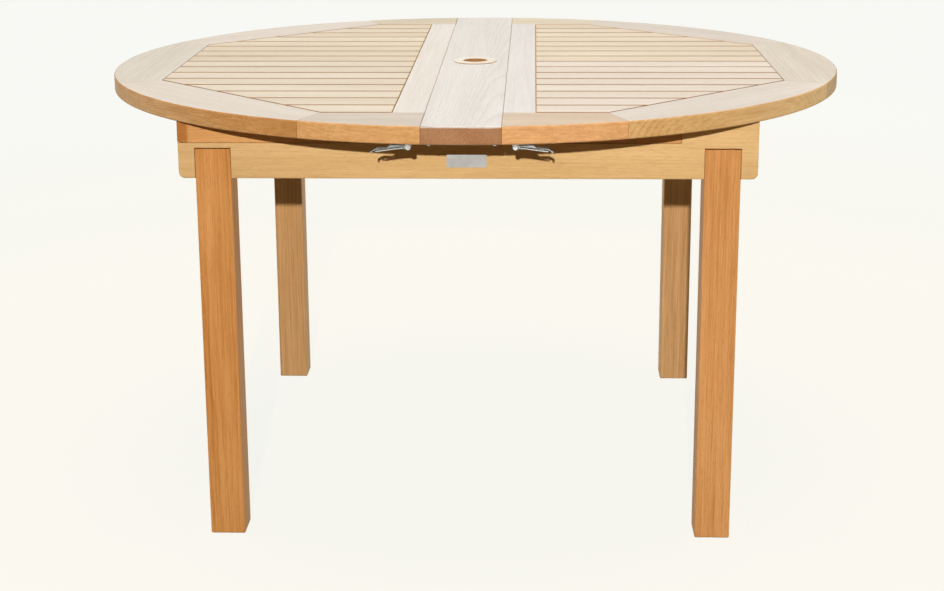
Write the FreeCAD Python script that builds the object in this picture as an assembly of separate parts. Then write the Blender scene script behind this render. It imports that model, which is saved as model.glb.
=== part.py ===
import FreeCAD, Part
import math
import os

# Round extending table of solid wood, closed. Two half tops slide out from a
# fixed centre board, and two folded leaves lie in the frame below them.
# Millimetres. +Z is up, the origin is on the floor under the middle of the
# table, +X is the viewer's right and -Y is the front.

# The top as a whole
top_diameter = 1300.0
table_height = 742.0
top_thickness = 28.0
top_edge_round = 3.0
top_overhang = 212.0

# Boards of the top
centre_board_width = 120.0
rim_width = 117.0
stile_width = 50.0
board_joint = 0.3
board_edge_round = 1.0
slat_count = 16
slat_gap = 6.0
slat_thickness = 16.0
slat_tongue_height = 6.0
slat_tongue_depth = 7.5
slat_groove_slack = 0.4
slat_corner_gap = 4.0
slat_end_gap = 1.0
batten_width = 60.0
batten_place_shares = (0.40, 0.63, 0.84)

# Parasol hole and its wooden ring
parasol_hole_diameter = 45.0
ring_diameter = 78.0
ring_height = 2.5
ring_edge_round = 1.2
ring_collar_wall = 4.0
ring_collar_length = 22.0
ring_collar_slack = 0.2

# Legs
leg_width = 58.0
leg_edge_round = 2.5
leg_cheek_thickness = 14.0
leg_cheek_height = 48.5
leg_cheek_gap = 1.5

# Aprons along the front and the back
apron_reach = 27.0
apron_thickness = 28.0
apron_setback = 1.0
apron_lower_height = 58.0
apron_corner_round = 10.0
apron_edge_round = 1.2
apron_top_gap = 1.0
notch_corner_round = 1.5

# Rails that slide on the frame
rail_zone_height = 39.0
inner_rail_thickness = 28.0
rail_gap = 1.0
rail_relief = 0.8
running_gap = 0.3
tongue_height = 6.0
tongue_depth = 5.0
tongue_end_gap = 0.5

# Fixed runners inside the aprons
ledge_height = 30.0
guide_thickness = 12.7
guide_cover = 2.5

# End rails and cross rails
end_rail_thickness = 28.0
end_rail_setback = 14.0
end_tenon_thickness = 14.0
end_tenon_gap = 4.0
end_tenon_height = 40.0
cross_rail_setback = 8.0
pole_clearance = 7.5
cross_tenon_depth = 8.0
cross_top_inset = 7.0

# Stop block on each inner rail
stop_length = 40.0
stop_lap = 10.0
stop_gap = 1.0
stop_end_gap = 0.4

# Leaves and what they lie on
leaf_thickness = 28.0
leaf_side_gap = 0.4
leaf_to_end_rail = 86.0
leaf_to_ledge = 43.4
leaf_edge_round = 1.5
bearer_height = 23.0
bearer_width = 30.0
bearer_spacing = 400.0
hinge_width = 50.0
hinge_plate_height = 20.0
hinge_plate_thickness = 2.0
hinge_barrel_radius = 3.5
hinge_barrel_offset = 2.5
hinge_pin_radius = 1.5
hinge_slack = 0.1
hinge_place_share = 0.28

# Corner blocks and leg bolts
block_reach = 76.0
bolt_radius = 4.0
bolt_hole_slack = 0.3
bolt_tip_gap = 4.2
bolt_head_radius = 7.5
bolt_head_height = 5.5
washer_radius = 11.0
washer_thickness = 2.0

# Wood screws
screw_radius = 2.5
screw_head_radius = 5.0
screw_head_height = 3.0
screw_cover = 2.0
counterbore_depth = 6.0
counterbore_radius = 5.5
side_screw_bite = 15.0
side_screw_place_shares = (-0.83, -0.28, 0.28, 0.83)
guide_screw_bite = 10.0
guide_screw_place_shares = (-0.55, 0, 0.55)
rail_end_screw_inset = 65.0

# Brackets under the centre board
bracket_size = 20.0
bracket_thickness = 2.0
bracket_spacing = 350.0
bracket_screw_radius = 2.0
bracket_screw_head_radius = 3.5
bracket_screw_head_height = 1.5
bracket_screw_length = 12.0

# Draw latches under the rim
latch_board_gap = 20.0
latch_rim_inset = 35.0
latch_pivot_drop = 8.5
latch_plate_thickness = 1.5
latch_plate_length = 55.0
latch_plate_lead = 4.5
latch_ear_thickness = 1.5
latch_ear_half_length = 4.0
latch_ear_below_pivot = 3.9
latch_side_gap = 0.4
latch_pin_radius = 2.0
latch_pin_slack = 0.06
latch_pin_head_radius = 3.6
latch_pin_head_height = 1.3
latch_screw_spacing = 20.0
lever_width = 13.0
lever_wall = 1.5
lever_half_depth = 3.4
lever_neck_half_depth = 2.6
lever_neck_length = 11.0
lever_belly_start = 22.0
lever_belly_end = 27.0
lever_channel_length = 33.0
lever_channel_end_depth = 1.7
lever_arm_width = 2.6
lever_bend_start = 49.0
lever_bend_round = 8.0
lever_length = 56.0
lever_tip_drop = 4.2
lever_tip_roll_radius = 1.6
bail_pin_offset = 8.0
bail_length = 41.0
bail_wire_radius = 1.25
bail_hole_slack = 0.1
bail_side_gap = 0.4
bail_bend_round = 4.0
bail_end_bend_round = 1.6
bail_end_reach = 1.0
bail_rest_angle = 8.0
keeper_edge_inset = 8.0
keeper_length = 22.0
keeper_width = 11.0
keeper_drop = 6.5
keeper_lip = 5.0
keeper_screw_place = 14.0

# Plain metal plate on the front apron
name_plate_length = 64.0
name_plate_height = 21.0
name_plate_thickness = 1.2
name_plate_corner = 2.0
name_plate_drop = 28.5
name_plate_pin_inset = 3.2
name_plate_pin_radius = 0.8
name_plate_pin_head_radius = 1.6
name_plate_pin_head_height = 0.7
name_plate_pin_length = 8.0

# How far every cutting solid runs past what it cuts
overrun = 5.0

# Heights worked out from the top downwards
under_z = table_height - top_thickness
slat_bottom_z = table_height - slat_thickness
notch_floor_z = under_z - rail_zone_height
apron_bottom_z = notch_floor_z - apron_lower_height
apron_top_z = under_z - apron_top_gap
rail_bottom_z = notch_floor_z + running_gap
tongue_middle_z = notch_floor_z + rail_zone_height / 2
ledge_bottom_z = notch_floor_z - ledge_height
ledge_middle_z = notch_floor_z - ledge_height / 2
guide_top_z = tongue_middle_z + tongue_height / 2 + guide_cover
bearer_top_z = apron_bottom_z + bearer_height
fold_z = bearer_top_z + leaf_thickness
latch_pivot_z = under_z - latch_pivot_drop

# Places of the top in plan, as distances from the middle
top_radius = top_diameter / 2
field_inradius = top_radius - rim_width
board_half = centre_board_width / 2
half_edge = board_half + board_joint
stile_edge = half_edge + stile_width
latch_pivot_x = board_half + latch_board_gap
latch_pivot_y = top_radius - latch_rim_inset

# Places along X, from the outside of the frame inwards. Each half slides out
# by the width that the frame can store beside the centre board
frame_half_x = top_radius - top_overhang
leg_inner_x = frame_half_x - leg_width
apron_half = frame_half_x + apron_reach
end_rail_outer = frame_half_x - end_rail_setback
end_rail_inner = end_rail_outer - end_rail_thickness
end_rail_middle = (end_rail_outer + end_rail_inner) / 2
extension = end_rail_inner - leaf_to_end_rail - board_half
leaf_inner = board_half + leaf_side_gap
leaf_outer = board_half + extension + board_joint - leaf_side_gap
cross_inner = parasol_hole_diameter / 2 + pole_clearance
cross_outer = board_half - cross_rail_setback
stop_near = cross_outer + running_gap + extension
stop_far = stop_near + stop_length
rail_inner_end = stop_far + stop_end_gap
notch_end = rail_inner_end + running_gap

# Places along Y, from the folded leaf outwards. Unfolded it spans the top
leaf_half = math.sqrt(top_radius ** 2 - board_half ** 2) / 2
ledge_inner = leaf_half + leaf_to_ledge
guide_inner = ledge_inner
guide_outer = guide_inner + guide_thickness
inner_rail_inner = guide_outer + running_gap
inner_rail_outer = inner_rail_inner + inner_rail_thickness
apron_inner = inner_rail_outer + rail_gap
apron_face = apron_inner + apron_thickness
frame_half_y = apron_face + apron_setback
leg_inner_y = frame_half_y - leg_width
leg_web_face = frame_half_y - leg_cheek_thickness
cross_top_half = ledge_inner - cross_top_inset

# Depths into the leg that keep clear of what else is in it
end_tenon_length = apron_inner - leg_inner_y - end_tenon_gap
end_tenon_face = end_rail_middle - end_tenon_thickness / 2
bolt_hole_radius = bolt_radius + bolt_hole_slack
bolt_depth = math.sqrt(2) * (end_tenon_face - leg_inner_x) - bolt_hole_radius - bolt_tip_gap

# Angles of the eight-sided field inside the rim
octagon_turn = 45.0
octagon_half_turn = octagon_turn / 2


def at(x, y, z):
    return FreeCAD.Vector(x, y, z)


def box(x_low, x_high, y_low, y_high, z_low, z_high):
    size = (x_high - x_low, y_high - y_low, z_high - z_low)
    return Part.makeBox(*size, at(x_low, y_low, z_low))


def rod(radius, start, end):
    along = end - start
    return Part.makeCylinder(radius, along.Length, start, along)


def cone(radius_at_start, radius_at_end, start, end):
    along = end - start
    return Part.makeCone(radius_at_start, radius_at_end, along.Length, start, along)


def rounded_wire(corners):
    """Closed wire through (point, radius) corners, each rounded by its radius."""
    count = len(corners)
    ends = []
    edges = []
    for index in range(count):
        before = corners[index - 1][0]
        here, radius = corners[index]
        after = corners[(index + 1) % count][0]
        to_before = (before - here).normalize()
        to_after = (after - here).normalize()
        angle = to_before.getAngle(to_after)
        if radius > 0:
            cut_back = radius / math.tan(angle / 2)
            reach = radius / math.sin(angle / 2)
            middle_way = (to_before + to_after).normalize()
            start = here + to_before * cut_back
            end = here + to_after * cut_back
            middle = here + middle_way * (reach - radius)
            edges.append(Part.Arc(start, middle, end).toShape())
            ends.append((start, end))
        else:
            ends.append((here, here))
    for index in range(count):
        leave = ends[index][1]
        arrive = ends[(index + 1) % count][0]
        edges.append(Part.LineSegment(leave, arrive).toShape())
    return Part.Wire(Part.__sortEdges__(edges))


def slab_xz(outline, y_low, y_high):
    """Solid between two Y planes, from (x, z, radius) corners."""
    corners = [(at(x, y_low, z), radius) for x, z, radius in outline]
    return Part.Face(rounded_wire(corners)).extrude(at(0, y_high - y_low, 0))


def slab_xy(outline, z_low, z_high):
    """Solid between two levels, from (x, y) corners."""
    points = [at(x, y, z_low) for x, y in outline]
    wire = Part.makePolygon(points + points[:1])
    return Part.Face(wire).extrude(at(0, 0, z_high - z_low))


def turned(shape):
    """The same piece at the opposite side, half a turn about the middle."""
    copy = shape.copy()
    copy.rotate(at(0, 0, 0), at(0, 0, 1), 180)
    return copy


def across_x(shape):
    return shape.mirror(at(0, 0, 0), at(1, 0, 0))


def across_y(shape):
    return shape.mirror(at(0, 0, 0), at(0, 1, 0))


def edges_along(shape, direction):
    """Straight edges that run along a direction."""
    found = []
    for edge in shape.Edges:
        if not isinstance(edge.Curve, Part.Line):
            continue
        way = edge.Vertexes[-1].Point - edge.Vertexes[0].Point
        if way.normalize().cross(direction).Length < 0.001:
            found.append(edge)
    return found


def edges_at_height(edges, z):
    return [edge for edge in edges if abs(edge.CenterOfMass.z - z) < overrun / 100]


def save(node, solids):
    pieces = []
    for shape in solids:
        pieces.extend(shape.Solids)
    shape = pieces[0] if len(pieces) == 1 else Part.makeCompound(pieces)
    shape.exportStep("parts/" + node + ".step")
    print(node, len(pieces), "solids", round(shape.Volume / 1000), "cm3")


# The top

def octagon(inradius, z_low, z_high):
    """Eight-sided prism with flat sides towards X and Y."""
    corner_radius = inradius / math.cos(math.radians(octagon_half_turn))
    outline = []
    for step in range(8):
        angle = math.radians(octagon_half_turn + octagon_turn * step)
        outline.append((corner_radius * math.cos(angle), corner_radius * math.sin(angle)))
    return slab_xy(outline, z_low, z_high)


def disc():
    """The round outline of the closed top, with its eased rim."""
    blank = rod(top_radius, at(0, 0, under_z), at(0, 0, table_height))
    rims = [edge for edge in blank.Edges if isinstance(edge.Curve, Part.Circle)]
    return blank.makeFillet(top_edge_round, rims)


def tongue_levels(slack):
    middle = table_height - slat_thickness / 2
    reach = slat_tongue_height / 2 + slack
    return middle - reach, middle + reach


def rim_ring():
    """The whole rim, with the groove that takes the slats' tongues."""
    groove = octagon(field_inradius + slat_tongue_depth + slat_groove_slack,
                     *tongue_levels(slat_groove_slack))
    field = octagon(field_inradius, under_z - overrun, table_height + overrun)
    return disc().cut(field).cut(groove)


def sector(angle_low, angle_high):
    """Wedge from the middle between two angles in plan, less half a joint each side."""
    far = top_diameter
    outline = [(0, 0)]
    for angle in (angle_low, angle_high):
        turn = math.radians(angle)
        outline.append((far * math.cos(turn), far * math.sin(turn)))
    wedge = slab_xy(outline, under_z - overrun, table_height + overrun)
    for angle in (angle_low, angle_high):
        turn = math.radians(angle)
        side = box(0, far, -board_joint / 2, board_joint / 2,
                   under_z - overrun, table_height + overrun)
        side.rotate(at(0, 0, 0), at(0, 0, 1), angle)
        wedge = wedge.cut(side)
    return wedge


def left_rim_board(ring, side_index):
    """One board of the left rim, counted from the front: 0 and 4 meet the centre board."""
    middle_angle = 270 - octagon_turn * side_index
    low = middle_angle - octagon_half_turn
    high = middle_angle + octagon_half_turn
    board = ring.common(sector(low, high))
    right_side = box(-half_edge, top_diameter, -top_diameter, top_diameter,
                     under_z - overrun, table_height + overrun)
    return board.cut(right_side)


def left_stile():
    end = field_inradius - board_joint
    blank = box(-stile_edge, -half_edge, -end, end, under_z, table_height)
    blank = blank.makeFillet(board_edge_round,
                             edges_at_height(edges_along(blank, at(0, 1, 0)), table_height))
    depth = slat_tongue_depth + slat_groove_slack
    groove = box(-stile_edge - overrun, -stile_edge + depth, -end - overrun, end + overrun,
                 *tongue_levels(slat_groove_slack))
    return blank.cut(groove)


def left_slats():
    width = (2 * field_inradius - (slat_count + 1) * slat_gap) / slat_count
    levels = (slat_bottom_z - overrun, table_height + overrun)
    reach = field_inradius - slat_corner_gap
    field = box(-reach, reach, -reach, reach, *levels)
    field.rotate(at(0, 0, 0), at(0, 0, 1), octagon_turn)
    field = field.common(box(-field_inradius + slat_end_gap, 0, -reach, reach, *levels))
    tongue_field = octagon(field_inradius + slat_tongue_depth, *tongue_levels(0))
    slats = []
    for index in range(slat_count):
        low = -field_inradius + slat_gap + index * (width + slat_gap)
        high = low + width
        strip = box(-top_radius, -stile_edge - slat_end_gap, low, high,
                    slat_bottom_z, table_height)
        top_edges = edges_at_height(edges_along(strip, at(1, 0, 0)), table_height)
        strip = strip.makeFillet(board_edge_round, top_edges)
        tongue = box(-top_radius, -stile_edge + slat_tongue_depth, low, high,
                     *tongue_levels(0))
        slat = strip.common(field).fuse(tongue.common(tongue_field))
        slats.append(slat.removeSplitter())
    return slats


def left_battens():
    field = octagon(field_inradius - board_joint, under_z - overrun, table_height)
    battens = []
    for share in batten_place_shares:
        middle = -share * field_inradius
        strip = box(middle - batten_width / 2, middle + batten_width / 2,
                    -top_radius, top_radius, under_z, slat_bottom_z)
        battens.append(strip.common(field))
    return battens


def centre_board():
    strip = box(-board_half, board_half, -top_diameter, top_diameter, under_z, table_height)
    strip = strip.makeFillet(board_edge_round,
                             edges_at_height(edges_along(strip, at(0, 1, 0)), table_height))
    hole_radius = parasol_hole_diameter / 2 + ring_collar_wall + ring_collar_slack
    hole = rod(hole_radius, at(0, 0, under_z - overrun), at(0, 0, table_height + overrun))
    return disc().common(strip).cut(hole)


def parasol_ring():
    top_z = table_height + ring_height
    hole_radius = parasol_hole_diameter / 2
    flange = rod(ring_diameter / 2, at(0, 0, table_height), at(0, 0, top_z))
    collar_bottom = at(0, 0, table_height - ring_collar_length)
    collar = rod(hole_radius + ring_collar_wall, collar_bottom, at(0, 0, table_height))
    hole = rod(hole_radius, collar_bottom - at(0, 0, overrun), at(0, 0, top_z + overrun))
    ring = flange.fuse(collar).cut(hole).removeSplitter()
    circles = [edge for edge in ring.Edges if isinstance(edge.Curve, Part.Circle)]
    return ring.makeFillet(ring_edge_round, edges_at_height(circles, top_z))


# Sliding rails, seen from the front: the left half's outer rail lies in the
# notch of the front apron, and the right half's inner rail runs behind it

def tongue_box(y_low, y_high, slack, x_low, x_high):
    reach = tongue_height / 2 + slack
    return box(x_low, x_high, y_low, y_high, tongue_middle_z - reach, tongue_middle_z + reach)


def front_outer_rail():
    """Rail of the left half, flush with the front apron's face."""
    outline = [(-apron_half, rail_bottom_z, 0),
               (rail_inner_end, rail_bottom_z, notch_corner_round),
               (rail_inner_end, under_z, 0),
               (-apron_half, under_z, 0)]
    rail = slab_xz(outline, -apron_face, -apron_inner)
    front_edges = [edge for edge in edges_along(rail, at(1, 0, 0))
                   if abs(edge.CenterOfMass.y + apron_face) < running_gap]
    rail = rail.makeFillet(apron_edge_round, edges_at_height(front_edges, rail_bottom_z))
    relief = box(-half_edge, rail_inner_end + overrun, -apron_face - overrun,
                 -apron_inner + overrun, under_z - rail_relief, under_z + overrun)
    tongue = tongue_box(-apron_inner, -apron_inner + tongue_depth, 0,
                        -apron_half, rail_inner_end)
    return rail.cut(relief).fuse(tongue).removeSplitter()


def front_inner_rail():
    """Rail of the right half, behind the left half's outer rail."""
    rail = box(-rail_inner_end, apron_half, -inner_rail_outer, -inner_rail_inner,
               rail_bottom_z, under_z)
    relief = box(-rail_inner_end - overrun, half_edge, -inner_rail_outer - overrun,
                 -inner_rail_inner + overrun, under_z - rail_relief, under_z + overrun)
    outer_depth = tongue_depth - rail_gap + tongue_end_gap
    outer_groove = tongue_box(-inner_rail_outer - overrun, -inner_rail_outer + outer_depth,
                              running_gap, -top_radius, top_radius)
    inner_depth = tongue_depth + tongue_end_gap
    inner_groove = tongue_box(-inner_rail_inner - inner_depth, -inner_rail_inner + overrun,
                              running_gap, -top_radius, top_radius)
    return rail.cut(relief).cut(outer_groove).cut(inner_groove)


def front_stop_block():
    """Block on the front inner rail: it meets the left cross rail at full extension."""
    return box(-stop_far, -stop_near, -inner_rail_inner, -cross_top_half + stop_lap,
               guide_top_z + stop_gap, under_z - stop_gap)


# The frame

def leg_bolt_line():
    """Start on the corner block, unit way into the leg, for the front left leg."""
    corner = at(-leg_inner_x, -leg_inner_y, ledge_middle_z)
    way = at(-1, -1, 0).normalize()
    block_line = end_rail_inner + ledge_inner - block_reach
    back = (leg_inner_x + leg_inner_y - block_line) / 2
    start = corner + at(back, back, 0)
    return start, corner, way


def leg_bolt_hole():
    start, corner, way = leg_bolt_line()
    return rod(bolt_hole_radius, start - way * overrun, corner + way * bolt_depth)


def front_left_leg():
    blank = box(-frame_half_x, -leg_inner_x, -frame_half_y, -leg_inner_y, 0, notch_floor_z)
    blank = blank.makeFillet(leg_edge_round, edges_along(blank, at(0, 0, 1)))
    foot_edges = edges_at_height(blank.Edges, 0)
    blank = blank.makeChamfer(leg_edge_round / 2, foot_edges)
    slot = box(-frame_half_x - overrun, -leg_inner_x + overrun, -leg_web_face, -apron_inner,
               apron_bottom_z, notch_floor_z + overrun)
    above_cheek = box(-frame_half_x - overrun, -leg_inner_x + overrun,
                      -frame_half_y - overrun, -leg_web_face,
                      apron_bottom_z + leg_cheek_height, notch_floor_z + overrun)
    leg = blank.cut(slot).cut(above_cheek)
    return leg.cut(left_end_tenon(-1)).cut(leg_bolt_hole())


def left_end_tenon(side):
    """Tenon of the left end rail, in the front leg (-1) or the back leg (1)."""
    z_low = apron_bottom_z + (apron_lower_height - end_tenon_height) / 2
    ends = sorted((side * leg_inner_y, side * (leg_inner_y + end_tenon_length)))
    return box(-end_tenon_face - end_tenon_thickness, -end_tenon_face, *ends,
               z_low, z_low + end_tenon_height)


def left_end_rail():
    rail = box(-end_rail_outer, -end_rail_inner, -leg_inner_y, leg_inner_y,
               apron_bottom_z, notch_floor_z)
    bottom = edges_at_height(edges_along(rail, at(0, 1, 0)), apron_bottom_z)
    rail = rail.makeFillet(apron_edge_round, bottom)
    return rail.fuse([left_end_tenon(-1), left_end_tenon(1)]).removeSplitter()


def front_apron():
    """Board with a long notch for the left half's outer rail."""
    outline = [(-apron_half, apron_bottom_z, apron_corner_round),
               (apron_half, apron_bottom_z, apron_corner_round),
               (apron_half, apron_top_z, 0),
               (notch_end, apron_top_z, 0),
               (notch_end, notch_floor_z, notch_corner_round),
               (-apron_half, notch_floor_z, 0)]
    board = slab_xz(outline, -apron_face, -apron_inner)
    bottom = edges_at_height(edges_along(board, at(1, 0, 0)), apron_bottom_z)
    board = board.makeFillet(apron_edge_round, bottom)
    for middle in (-frame_half_x + leg_width / 2, frame_half_x - leg_width / 2):
        reach = leg_width / 2 + board_joint
        board = board.cut(box(middle - reach, middle + reach, -apron_face - overrun,
                              -leg_web_face, apron_bottom_z - overrun,
                              apron_bottom_z + leg_cheek_height + leg_cheek_gap))
    for side in (-1, 1):
        board = board.cut(cross_tenon(side))
    return board


def cross_tenon(side):
    """Stub tenon of a cross rail in the front apron, left (-1) or right (1)."""
    ends = sorted((side * cross_inner, side * cross_outer))
    inset = cross_tenon_depth / 2
    return box(*ends, -apron_inner - cross_tenon_depth, -apron_inner,
               apron_bottom_z + inset, ledge_bottom_z - inset)


def right_cross_rail():
    """Rail under the centre board, low where the sliding rails pass over it."""
    low = box(cross_inner, cross_outer, -apron_inner, apron_inner,
              apron_bottom_z, ledge_bottom_z)
    middle = box(cross_inner, cross_outer, -ledge_inner, ledge_inner,
                 ledge_bottom_z, notch_floor_z)
    high = box(cross_inner, cross_outer, -cross_top_half, cross_top_half,
               notch_floor_z, under_z)
    front_tenon = cross_tenon(1)
    back_tenon = across_y(front_tenon)
    return low.fuse([middle, high, front_tenon, back_tenon]).removeSplitter()


def front_ledge():
    ledge = box(-leg_inner_x, leg_inner_x, -apron_inner, -ledge_inner,
                ledge_bottom_z, notch_floor_z)
    hole = leg_bolt_hole()
    return ledge.cut(hole).cut(across_x(hole))


def front_guide_strip():
    """Strip on the ledge whose tongue holds the inner rail down."""
    strip = box(-leg_inner_x, leg_inner_x, -guide_outer, -guide_inner,
                notch_floor_z, guide_top_z)
    tongue = tongue_box(-guide_outer - tongue_depth, -guide_outer, 0,
                        -leg_inner_x, leg_inner_x)
    return strip.fuse(tongue).removeSplitter()


def front_left_corner_block():
    outline = [(-end_rail_inner, -leg_inner_y),
               (-leg_inner_x, -leg_inner_y),
               (-leg_inner_x, -ledge_inner),
               (-end_rail_inner + block_reach, -ledge_inner),
               (-end_rail_inner, -ledge_inner + block_reach)]
    return slab_xy(outline, ledge_bottom_z, notch_floor_z).cut(leg_bolt_hole())


def front_left_leg_bolt():
    """Hexagon bolt and its washer, pulling the leg to the corner block."""
    start, corner, way = leg_bolt_line()
    washer = rod(washer_radius, start - way * washer_thickness, start)
    washer = washer.cut(rod(bolt_hole_radius, start - way * overrun, start + way * overrun))
    head_start = start - way * washer_thickness
    corners = []
    for step in range(7):
        angle = math.radians(60 * step)
        side = at(-way.y, way.x, 0) * (bolt_head_radius * math.cos(angle))
        corners.append(head_start + side + at(0, 0, bolt_head_radius * math.sin(angle)))
    head = Part.Face(Part.makePolygon(corners)).extrude(way * -bolt_head_height)
    shank = rod(bolt_radius, head_start, corner + way * (bolt_depth - bolt_hole_slack))
    return [head.fuse(shank).removeSplitter(), washer]


def leaf_bearers():
    bearers = []
    for side in (-1, 1):
        middle = side * bearer_spacing / 2
        bearer = box(cross_outer, end_rail_inner, middle - bearer_width / 2,
                     middle + bearer_width / 2, apron_bottom_z, bearer_top_z)
        bearers.extend([bearer, across_x(bearer)])
    return bearers


def left_leaf_panel(z_low):
    """Half of the left leaf, folded, with its eased edges and hinge seats."""
    panel = box(-leaf_outer, -leaf_inner, -leaf_half, leaf_half, z_low, z_low + leaf_thickness)
    panel = panel.makeFillet(leaf_edge_round, edges_along(panel, at(1, 0, 0)))
    for middle in left_hinge_places():
        seat_reach = hinge_width / 2 + hinge_slack
        plate_reach = hinge_plate_height + hinge_slack
        seat = box(middle - seat_reach, middle + seat_reach,
                   leaf_half - hinge_plate_thickness, leaf_half + overrun,
                   fold_z - plate_reach, fold_z + plate_reach)
        barrel_y = leaf_half + hinge_barrel_offset
        barrel = rod(hinge_barrel_radius + hinge_slack, at(middle - seat_reach, barrel_y, fold_z),
                     at(middle + seat_reach, barrel_y, fold_z))
        panel = panel.cut(seat).cut(barrel)
    return panel


def left_hinge_places():
    middle = -(leaf_inner + leaf_outer) / 2
    offset = hinge_place_share * (leaf_outer - leaf_inner)
    return middle - offset, middle + offset


def left_leaf_hinges():
    """Butt hinges at the fold: lower plate, upper plate and pin of each."""
    pieces = []
    barrel_y = leaf_half + hinge_barrel_offset
    plate_low = leaf_half - hinge_plate_thickness
    for middle in left_hinge_places():
        left = middle - hinge_width / 2
        right = middle + hinge_width / 2
        bore = rod(hinge_pin_radius + hinge_slack, at(left - overrun, barrel_y, fold_z),
                   at(right + overrun, barrel_y, fold_z))
        inner_left = middle - hinge_width / 4
        inner_right = middle + hinge_width / 4
        spans = {-1: ((left, inner_left - hinge_slack), (inner_right + hinge_slack, right)),
                 1: ((inner_left, inner_right),)}
        for side, knuckles in spans.items():
            z_ends = sorted((fold_z + side * hinge_slack, fold_z + side * hinge_plate_height))
            plate = box(left, right, plate_low, leaf_half, *z_ends)
            room = [rod(hinge_barrel_radius + hinge_slack, at(low - hinge_slack, barrel_y, fold_z),
                        at(high + hinge_slack, barrel_y, fold_z)) for low, high in spans[-side]]
            plate = plate.cut(room)
            rolls = [rod(hinge_barrel_radius, at(low, barrel_y, fold_z), at(high, barrel_y, fold_z))
                     for low, high in knuckles]
            pieces.append(plate.fuse(rolls).cut(bore).removeSplitter())
        pieces.append(rod(hinge_pin_radius, at(left, barrel_y, fold_z), at(right, barrel_y, fold_z)))
    return pieces


# Screws

def screw(head_point, tip_point, shank_radius, head_radius, head_height):
    """Countersunk screw from the middle of its head's flat face to its tip."""
    way = (tip_point - head_point).normalize()
    neck = head_point + way * head_height
    head = cone(head_radius, shank_radius, head_point, neck)
    return head.fuse(rod(shank_radius, neck, tip_point)).removeSplitter()


def rail_screw_places():
    """Places of the screws that hold the left half's two rails, from below."""
    batten_x = -batten_place_shares[0] * field_inradius
    stile_x = -(half_edge + stile_edge) / 2
    end_x = -apron_half + rail_end_screw_inset
    outer_y = -(apron_face + apron_inner) / 2
    inner_y = (inner_rail_outer + inner_rail_inner) / 2
    return [(x, y) for y in (outer_y, inner_y) for x in (stile_x, batten_x, end_x)]


def left_rail_screws():
    head_z = rail_bottom_z + counterbore_depth
    return [screw(at(x, y, head_z), at(x, y, slat_bottom_z - screw_cover),
                  screw_radius, screw_head_radius, screw_head_height)
            for x, y in rail_screw_places()]


def rail_counterbores():
    head_z = rail_bottom_z + counterbore_depth
    return [rod(counterbore_radius, at(x, y, rail_bottom_z - overrun), at(x, y, head_z))
            for x, y in rail_screw_places()]


def front_runner_screws():
    """Screws through the front ledge into the apron, and through the guide strip."""
    screws = []
    for share in side_screw_place_shares:
        x = share * leg_inner_x
        screws.append(screw(at(x, -ledge_inner, ledge_middle_z),
                            at(x, -apron_inner - side_screw_bite, ledge_middle_z),
                            screw_radius, screw_head_radius, screw_head_height))
    y = -(guide_outer + guide_inner) / 2
    for share in guide_screw_place_shares:
        x = share * leg_inner_x
        screws.append(screw(at(x, y, guide_top_z),
                            at(x, y, notch_floor_z - guide_screw_bite),
                            screw_radius, screw_head_radius, screw_head_height))
    return screws


def right_brackets():
    """Angle brackets between the right cross rail and the centre board."""
    brackets = []
    for side in (-1, 1):
        middle = side * bracket_spacing / 2
        low_y = middle - bracket_size / 2
        high_y = middle + bracket_size / 2
        wall = box(cross_inner - bracket_thickness, cross_inner, low_y, high_y,
                   under_z - bracket_size, under_z)
        shelf = box(cross_inner - bracket_size, cross_inner, low_y, high_y,
                    under_z - bracket_thickness, under_z)
        brackets.append(wall.fuse(shelf).removeSplitter())
    return brackets


def right_bracket_screws():
    screws = []
    out = bracket_screw_head_height + bracket_thickness
    for side in (-1, 1):
        middle = side * bracket_spacing / 2
        shelf_x = cross_inner - bracket_size / 2
        starts = (at(shelf_x, middle, under_z - out),
                  at(cross_inner - out, middle, under_z - bracket_size / 2 - bracket_thickness))
        for start, way in zip(starts, (at(0, 0, 1), at(1, 0, 0))):
            head = rod(bracket_screw_head_radius, start, start + way * bracket_screw_head_height)
            tip = start + way * (out + bracket_screw_length)
            screws.append(head.fuse(rod(bracket_screw_radius, start, tip)).removeSplitter())
    return screws


# Draw latches. Each is drawn for the front of the left half: u runs outwards
# from the lever's pivot, towards the end of the table, and w upwards

def latch_point(u, w, v=0):
    return at(-latch_pivot_x - u, -latch_pivot_y + v, latch_pivot_z + w)


def latch_slab(outline, v_low, v_high):
    corners = [(-latch_pivot_x - u, latch_pivot_z + w, radius) for u, w, radius in outline]
    return slab_xz(corners, -latch_pivot_y + v_low, -latch_pivot_y + v_high)


def latch_cross_rod(radius, u, w, v_reach):
    return rod(radius, latch_point(u, w, -v_reach), latch_point(u, w, v_reach))


def latch_screw_places():
    first = -latch_plate_lead + latch_plate_length - latch_ear_half_length
    return first - latch_screw_spacing, first


def latch_base():
    ear_inner = lever_width / 2 + latch_side_gap
    ear_outer = ear_inner + latch_ear_thickness
    plate_low = latch_pivot_drop - latch_plate_thickness
    plate_end = latch_plate_length - latch_plate_lead
    plate = latch_slab([(-latch_plate_lead, plate_low, 0), (plate_end, plate_low, 0),
                        (plate_end, latch_pivot_drop, 0), (-latch_plate_lead, latch_pivot_drop, 0)],
                       -ear_outer, ear_outer)
    ear = [(-latch_ear_half_length, latch_pivot_drop, 0),
           (-latch_ear_half_length, -latch_ear_below_pivot, latch_ear_below_pivot),
           (latch_ear_half_length, -latch_ear_below_pivot, latch_ear_below_pivot),
           (latch_ear_half_length, latch_pivot_drop, 0)]
    ears = [latch_slab(ear, ear_inner, ear_outer), latch_slab(ear, -ear_outer, -ear_inner)]
    base = plate.fuse(ears).removeSplitter()
    return base.cut(latch_cross_rod(latch_pin_radius, 0, 0, ear_outer + overrun))


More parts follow.
